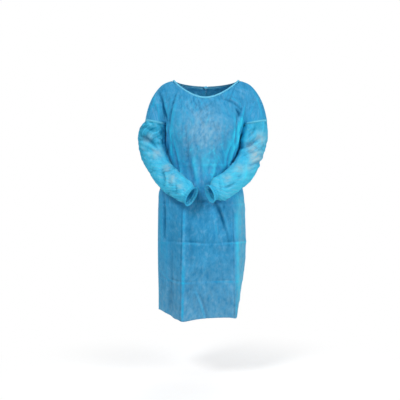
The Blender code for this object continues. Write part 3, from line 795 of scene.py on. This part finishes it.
def drawn_in(name, x, z):
    """How far the back's free edges are drawn together by the tie at the neck."""
    if name == "front":
        return 0 * x
    away = NECK_MIDDLE - x
    fading = 0.97 * np.exp(-np.maximum(np.abs(away) - DRAWN_IN, 0) / DRAWN_REACH)
    return np.clip(away, -DRAWN_IN, DRAWN_IN) * fading * ramp(z, -0.15, -0.08)


def hem_lift(x, z):
    """How far the hem is drawn up, which fades out above it."""
    return HEM_LIFT * bell(x, HEM_LIFT_X, HEM_LIFT_REACH) * ramp(z, -1.02, -1.08)


def torso_light(name, places, x, z, packed_tone):
    """Tone and paleness of a torso panel, apart from those of its folds; most of the tone is painted light
    and shade.
    """
    tone, pale = np.zeros(x.shape), np.zeros(x.shape)
    for glow in GLOWS:
        spot = bell(x, glow["x"], glow["reach_x"]) * bell(z, glow["z"], glow["reach_z"])
        tone += glow["tone"] * spot * (name == "front")
        pale += glow["pale"] * spot
    # The skirt's left side is painted lighter and paler where the light falls on it: painted light.
    skirt_left = bell(x, 0.175, 0.030) * ramp(z, -0.50, -0.55)
    skirt_middle = ramp(z, -0.46, -0.58) * ramp(np.abs(x), 0.165, 0.115)
    tone += 1.25 * skirt_left - 0.36 * skirt_middle
    pale += 0.30 * skirt_left + 0.24 * ramp(z, -0.75, -1.10) * (1 - np.clip(packed_tone, 0, 1))
    if name == "front":
        across = places[0]
        from_side = np.minimum(across[:, -1:] - across, across - across[:, :1])
        # The front beside the left armpit is painted lighter against the shade it stands in, and the cloth
        # beside the side seams on the skirt is painted lighter too.
        left_armpit = ramp(x, 0.145, 0.165) * bell(z, -0.28, 0.09)
        beside_seams = bell(from_side, 0, 0.030) * ramp(z, -0.44, -0.49)
        tone += 1.50 * left_armpit + 0.90 * beside_seams
    return tone, pale


def torso_panel(name, start, end, folds, down, seed, sewn):
    """A torso panel: the CAD wall's own form with folds, packing creases and crumple on it."""
    grid = averaged(refined(wall_grid(name, start, end), PANEL_STEP, cornered=True), False, 3)
    places = cloth_places(grid)
    out = normals_of(grid, evened=8)
    folded, folded_tone = soft_folds(grid, folds)
    packed, packed_tone = packing_creases(grid, down)
    calm = 0.70 * ramp(grid[..., 2], -0.46, -0.56)
    crumpled, crumpled_tone = crumple(grid, places, seed, TORSO_CRUMPLE, TORSO_BILLOW, calm)
    height = (folded + packed + crumpled) * edge_fade(grid, *sewn) + leaning(grid, out)
    x, z = grid[..., 0], grid[..., 2]
    grid = grid + np.stack([drawn_in(name, x, z), 0 * x, hem_lift(x, z)], axis=2)
    lit, pale = torso_light(name, places, x, z, packed_tone)
    # tone is mostly painted light and shade: that of the folds, the packing creases, the crumple and the
    # patches of torso_light.
    tone = 1.8 * folded_tone + packed_tone + 1.2 * crumpled_tone + lit
    return shell(name, "nonwoven", grid, out, height - CLOTH, TORSO, places=places, tone=tone, pale=pale)


def round_the_wrist(cuff):
    """Centre and two directions across an arm, where its cuff is."""
    centre = cuff.mean(axis=(0, 1))
    axis = unit(cuff[-1].mean(axis=0) - cuff[0].mean(axis=0))
    first = unit(np.cross(axis, [0, 0, 1]))
    return centre, first, np.cross(axis, first)


def gathers(grid, wrist, ripples, seed):
    """Uneven ripples round an arm, from -1 to 1."""
    centre, first, second = wrist
    turn = np.arctan2((grid - centre) @ second, (grid - centre) @ first)
    wave = np.cos(ripples * turn + 1.7 * np.sin(3 * turn + seed))
    return wave * (0.65 + 0.35 * np.sin(5 * turn + 2 * seed))


def run_on(grid, axis, last, reach):
    """The grid with one more row (axis 0) or column (axis 1) past its first or last one."""
    lines = np.moveaxis(grid, axis, 0)
    at, inside = (-1, -2) if last else (0, 1)
    more = lines[at] + unit(lines[at] - lines[inside]) * reach
    return np.insert(grid, grid.shape[axis] if last else 0, more, axis=axis)


def sleeve_shell(side, start, wrist, gather, seed):
    """A sleeve: folds, crumple, and gathers that run up from the elastic."""
    grid = refined(wall_grid("sleeve_" + side, start), SLEEVE_STEP, closed=True)
    places = cloth_places(grid, closed=True)
    out = normals_of(grid, closed=True, evened=6)
    facing = np.clip(0.5 - out[..., 1] * 1.5, 0, 1)
    front, front_tone = soft_folds(grid, SLEEVE_FRONT_FOLDS)
    back, back_tone = soft_folds(grid, SLEEVE_BACK_FOLDS)
    crumpled, crumpled_tone = crumple(grid, places, seed, SLEEVE_CRUMPLE, SLEEVE_BILLOW)
    height = front * facing + back * (1 - facing) + crumpled
    height = height * edge_fade(grid, 0, 0, 1, 1, closed=True) + leaning(grid, out)
    # The folds and the crumple give painted highlights on their ridges and painted shade in their hollows.
    tone = 1.8 * (front_tone * facing + back_tone * (1 - facing) + crumpled_tone)
    along = mean_run(grid, 0)
    share = (along / along[-1])[:, None]
    run_up = np.exp(-(along[-1] - along) / GATHER_RUN)[:, None]
    ripple = gathers(grid, wrist, gather["ripples"], seed)
    height += (gather["at_elastic"] * ripple - 0.6 * gather["squeeze"] * run_up**4) * run_up**1.5
    darker, lighter = SLEEVE_TONES[side]
    # The gathers' ripples are painted lighter on their tops and darker in their hollows: painted light and
    # shade.
    tone += 0.5 * ripple * run_up**1.5 - darker * ramp(share, 0.34, 0) + lighter * ramp(share, 0.35, 0.55)
    pale = np.zeros(grid.shape[:2])
    for patch in PALE_PATCHES:
        away = np.hypot(grid[..., 0] - patch["x"], grid[..., 2] - patch["z"])
        pale += patch["strength"] * bell(away, 0, patch["reach"]) * (out[..., 1] < 0.3)
    return shell(
        "sleeve_" + side, "sleeve_nonwoven", grid, out, height - CLOTH, SLEEVE,
        places=places, closed=True, tone=tone, pale=pale,
    )


def cuff_shell(side, band, wrist, gather, seed):
    """A gathered cuff, which starts inside its sleeve and is squeezed by the elastic near its middle."""
    along = mean_run(band, 0) - CUFF_UNDER
    share = (along / along[-1])[:, None]
    ripple = gathers(band, wrist, gather["ripples"], seed)
    swell = gather["at_elastic"] + (gather["at_edge"] - gather["at_elastic"]) * np.clip(share, 0, 1)
    height = swell * ripple + gather["flare"] * share**3 - gather["squeeze"] * bell(share, 0.32, 0.22)
    height -= CUFF_TUCK * ramp(along, 0, -CUFF_UNDER)[:, None] + 2 * CLOTH
    # Painted light and shade on the gathers: lighter on the tops of the ripples and darker in their hollows.
    # The cuff is also darker at the elastic and lighter towards its edge.
    tone = 0.35 * ripple - 0.35 * bell(share, 0.32, 0.18) + 0.6 * share**4
    out = normals_of(band, closed=True)
    return shell("cuff_" + side, "cuff_elastic", band, out, height, SLEEVE, closed=True, tone=tone)


def sleeve(side, start, cuff_start, seed):
    """A sleeve and its cuff."""
    gather = next(row for row in GATHERS if row["side"] == side)
    band = run_on(wall_grid("cuff_" + side, cuff_start, rim_edge=TRIM_RIM), 0, False, CUFF_UNDER)
    band = refined(band, CUFF_STEP, closed=True)
    wrist = round_the_wrist(band)
    made = sleeve_shell(side, start, wrist, gather, seed)
    return made, cuff_shell(side, band, wrist, gather, seed)


def strip(name, slot, start, end, row_step, bulge, seed, thickness):
    """A binding, tie or free end: a flat strip along its CAD wall, with a lengthwise fold."""
    grid = wall_grid(name, start, end, TRIM_RIM)
    if name.startswith("waist_tie"):
        grid = run_on(grid, 1, name == "waist_tie_right", TIE_REACH)
    grid = refined(grid, TRIM_STEP, row_step=row_step)
    across, along = mean_run(grid, 1), mean_run(grid, 0)
    if along[-1] > across[-1]:
        share = (across / across[-1])[None, :]
        run = along[:, None]
    else:
        share = (along / along[-1])[:, None]
        run = across[None, :]
    wander = np.sin(run * 61 + seed) + 0.6 * np.sin(run * 143 + 2 * seed)
    fold = bell(share, 0.5 + 0.10 * wander, 0.16)
    height = bulge * (1 - (2 * share - 1) ** 4) + 0.0007 * fold + 0.0003 * np.sin(run * 900 + 3 * share)
    # The lengthwise fold is painted lighter, a painted highlight, and the rest of the strip a little darker.
    tone = 0.5 * fold - 0.25 + 0.12 * wander * share
    return shell(name, slot, grid, normals_of(grid), height - 2 * CLOTH, TRIM, tone=tone, thickness=thickness)


def knot(name, turns):
    """A pulled knot: a squeezed ball whose cloth winds round it in uneven pleats."""
    points = np.array([v.co[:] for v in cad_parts[name].data.vertices])
    low, high = points.min(axis=0), points.max(axis=0)
    around = np.linspace(0, 2 * math.pi, 49)
    down = np.linspace(0.02, math.pi - 0.02, 29)
    t, d = np.meshgrid(around[:-1], down)
    wound = turns * t + 3.4 * d + 0.5 * np.sin(2 * t)
    radius = 0.93 + 0.07 * np.cos(wound) - 0.06 * bell(d, math.pi / 2, 0.3) * np.cos(t) ** 2
    ball = np.stack([np.cos(t) * np.sin(d), np.sin(t) * np.sin(d), np.cos(d)], axis=2)
    ball = np.sign(ball) * np.abs(ball) ** 0.85
    grid = (low + high) / 2 + ball * ((high - low) / 2 + KNOT_SPREAD) * radius[..., None]
    # The pleats are painted lighter and darker as they wind round the knot: painted light and shade.
    made = sheet_mesh(name + "_cloth", grid, TRIM, closed=True, tone=0.6 * np.cos(wound) - 0.2)
    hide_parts(name)
    return made


def edge(name, lines, reach, keep=None):
    """A shell's edge line, the points a little inside it, and its normals, where keep holds."""
    grid, out = SHELLS[name]
    at, beside = lines
    first = grid[at]
    inner = first + unit(grid[beside] - first) * reach
    held = keep(first) if keep else np.s_[:]
    return [values[held] for values in (first, inner, out[at])]


def dense(curves, count=700):
    """The same curves with many more points."""
    run = np.concatenate([[0], np.cumsum(np.linalg.norm(np.diff(curves[0], axis=0), axis=1))])
    at = np.linspace(0, run[-1], count)
    return [np.stack([np.interp(at, run, c[:, k]) for k in range(3)], axis=1) for c in curves]


def seam(name, near, far, closed=False):
    """A narrow raised ribbon over the join of two edges, made from the points of both."""
    point, inner, normal = near
    nearest = np.linalg.norm(far[0][None] - point[:, None], axis=2).argmin(axis=1)
    other, other_inner, other_normal = (values[nearest] for values in far)
    up = unit(normal + other_normal) * SEAM_LIFT
    top = (point + other) / 2 + 1.35 * up
    grid = np.stack([inner + 0.4 * up, point + up, top, other + up, other_inner + 0.4 * up], axis=1)
    if closed:
        grid = np.concatenate([grid, grid[:1]])
    made = sheet_mesh(name, grid, SEAM, tone=np.broadcast_to(SEAM_TONES, grid.shape[:2]))
    return made


def all_seams():
    """Side, shoulder, armhole and underarm seams."""
    made = []
    first, last = (np.s_[:, 0], np.s_[:, 1]), (np.s_[:, -1], np.s_[:, -2])
    bottom, top = (np.s_[0, :], np.s_[1, :]), (np.s_[-1, :], np.s_[-2, :])
    round_again = (np.s_[:, 0], np.s_[:, -1])

    def below(p):
        return p[:, 2] < UNDERARM_Z

    def above(p):
        return p[:, 2] > UNDERARM_Z - SEAM_OVERLAP

    for side, sign, front_side, back_side in (("right", -1, first, last), ("left", 1, last, first)):
        arm, back = f"sleeve_{side}", f"back_{side}"

        def on_shoulder(p):
            return (p[:, 0] - NECK_MIDDLE) * sign > NECK_HALF

        for name, of_front, of_back, keep in (
            ("side_seam", front_side, back_side, below),
            ("shoulder_seam", top, top, on_shoulder),
        ):
            far = dense(edge(back, of_back, SIDE_SEAM, keep))
            made.append(seam(f"{name}_{side}", edge("front", of_front, SIDE_SEAM, keep), far))
        fore = dense(edge("front", front_side, ARMHOLE_SEAM, above))
        aft = dense(edge(back, back_side, ARMHOLE_SEAM, above))
        armhole = [np.concatenate(pair) for pair in zip(fore, aft)]
        made.append(seam(f"armhole_seam_{side}", edge(arm, bottom, ARMHOLE_SEAM), armhole, closed=True))
        far = edge(arm, round_again, SIDE_SEAM)
        made.append(seam(f"underarm_seam_{side}", edge(arm, first, SIDE_SEAM), far))
    return made


# ---------------- the gown
# Each wall is found by X and Z of the ends of its first row.
front = torso_panel("front", (-0.21, -1.06), (0.15, -1.04), FRONT_FOLDS, DOWN_FRONT, 1, (1, 1, 0, 1))
back_left = torso_panel("back_left", (0.15, -1.04), (-0.11, -1.05), BACK_FOLDS, DOWN_BACK, 2, (1, 0, 0, 1))
back_right = torso_panel("back_right", (0.05, -1.05), (-0.21, -1.06), BACK_FOLDS, DOWN_BACK, 3, (0, 1, 0, 1))
sleeve_right, cuff_right = sleeve("right", (-0.18, -0.21), (-0.0906, -0.520), 4)
sleeve_left, cuff_left = sleeve("left", (0.18, -0.21), (0.0612, -0.510), 5)
STRIPS = table(
    "name slot start end row_step bulge seed thickness",
    ("neck_binding", "binding", (0.0177, -0.0031), (-0.0001, -0.0031), 0.0013, 0.0012, 6, BINDING),
    ("waist_tie_left", "tie_nonwoven", (0.1756, -0.4374), (0.0084, -0.4318), 0.0022, 0.0004, 7, CLOTH),
    ("waist_tie_right", "tie_nonwoven", (-0.0240, -0.4317), (-0.1914, -0.4374), 0.0022, 0.0004, 8, CLOTH),
    ("waist_end_left", "tie_nonwoven", (-0.0051, -0.4406), (0.0208, -0.4406), TRIM_STEP, 0.0005, 9, CLOTH),
    ("waist_end_right", "tie_nonwoven", (-0.0363, -0.4406), (-0.0103, -0.4406), TRIM_STEP, 0.0005, 10, CLOTH),
    ("neck_end_left", "binding", (0.0095, -0.0167), (0.0185, -0.0167), TRIM_STEP, 0.0005, 11, CLOTH),
    ("neck_end_right", "binding", (-0.0013, -0.0167), (0.0077, -0.0167), TRIM_STEP, 0.0005, 12, CLOTH),
)
binding, tie_left, tie_right, waist_end_left, waist_end_right, neck_end_left, neck_end_right = (
    strip(**row) for row in STRIPS
)
waist_knot = knot("waist_knot", 3)
neck_knot = knot("neck_knot", 2)
seams = all_seams()


# ---------------- camera, light and floor
CAMERA = (-0.0187, -3.2, -0.5417)
LENS, SENSOR = 61.66, 36  # millimetres
LAMPS = table(
    "name place aim size power",
    ("key", (-1.7, -2.7, 1.7), (0, 0, -0.5), 1.1, 66),
    ("fill", (2.3, -2.3, 0.6), (0, 0, -0.5), 1.4, 50),
    ("back", (0.6, 2.8, 1.4), (0, 0, -0.4), 2.0, 34),
)
WORLD_LIGHT = 0.42
FLOOR_GLOW = 0.30  # what the camera sees of the floor is this much brighter than its lamps make it
WHITE_FROM, WHITE_FULLY = 0.35, 1.1  # how far from the gown the floor starts to turn plain white, and is


def area_light(name, place, aim, size, power):
    """A round soft lamp that faces its aim."""
    lamp = bpy.data.lights.new(name, "AREA")
    lamp.shape = "DISK"
    lamp.size = size
    lamp.energy = power
    made = bpy.data.objects.new(name, lamp)
    made.location = place
    made.rotation_euler = (Vector(aim) - Vector(place)).to_track_quat("-Z", "Y").to_euler()
    bpy.context.scene.collection.objects.link(made)


def seen_directly(tree):
    """One for the rays of the camera, of mirrors and of glass, and nought for others."""
    path = node_of(tree, "LightPath")
    shown = maths(tree, "ADD", path.outputs["Is Camera Ray"], path.outputs["Is Glossy Ray"])
    return maths(tree, "ADD", shown, path.outputs["Is Transmission Ray"], clamp=True)


def floor_material():
    """Matte white that takes the gown's shadow, and turns to plain white a little way off."""
    material = bpy.data.materials.new("floor_white")
    material.use_nodes = True
    tree = material.node_tree
    tree.nodes.clear()
    place = node_of(tree, "NewGeometry").outputs["Position"]
    inputs = {0: place, 1: (0, 0, FLOOR_Z)}
    away = node_of(tree, "VectorMath", inputs, operation="DISTANCE").outputs["Value"]
    inputs = {"Value": away, "From Min": WHITE_FROM, "From Max": WHITE_FULLY}
    far = made_by(tree, "MapRange", inputs, interpolation_type="SMOOTHSTEP")
    shown = seen_directly(tree)
    matte = made_by(tree, "BsdfDiffuse", {"Color": (0.8, 0.8, 0.8, 1)})
    glow = made_by(tree, "Emission", {"Strength": maths(tree, "MULTIPLY", shown, FLOOR_GLOW)})
    near = made_by(tree, "AddShader", {0: matte, 1: glow})
    white = made_by(tree, "Emission", {"Strength": 1.0})
    both = made_by(tree, "MixShader", {0: maths(tree, "MULTIPLY", far, shown), 1: near, 2: white})
    node_of(tree, "OutputMaterial", {"Surface": both})
    return material


def stage_scene():
    """A camera level with the waist, soft lamps in front and behind, and a white floor with the shadow."""
    scene = bpy.context.scene
    lens = bpy.data.cameras.new("camera")
    lens.lens = LENS
    lens.sensor_width = SENSOR
    camera = bpy.data.objects.new("camera", lens)
    camera.location = CAMERA
    camera.rotation_euler = (math.pi / 2, 0, 0)
    scene.collection.objects.link(camera)
    scene.camera = camera
    for row in LAMPS:
        area_light(**row)
    bpy.ops.mesh.primitive_plane_add(size=60, location=(0, 0, FLOOR_Z))
    floor = bpy.context.object
    floor.name = "floor"
    floor.data.materials.append(floor_material())
    world = bpy.data.worlds.new("studio")
    world.use_nodes = True
    scene.world = world
    tree = world.node_tree
    tree.nodes.clear()
    soft = made_by(tree, "Background", {"Color": (1, 1, 1, 1), "Strength": WORLD_LIGHT})
    white = made_by(tree, "Background", {"Color": (1, 1, 1, 1), "Strength": 1.0})
    both = made_by(tree, "MixShader", {0: seen_directly(tree), 1: soft, 2: white})
    node_of(tree, "OutputWorld", {"Surface": both})
    scene.view_settings.view_transform = "Standard"


stage_scene()
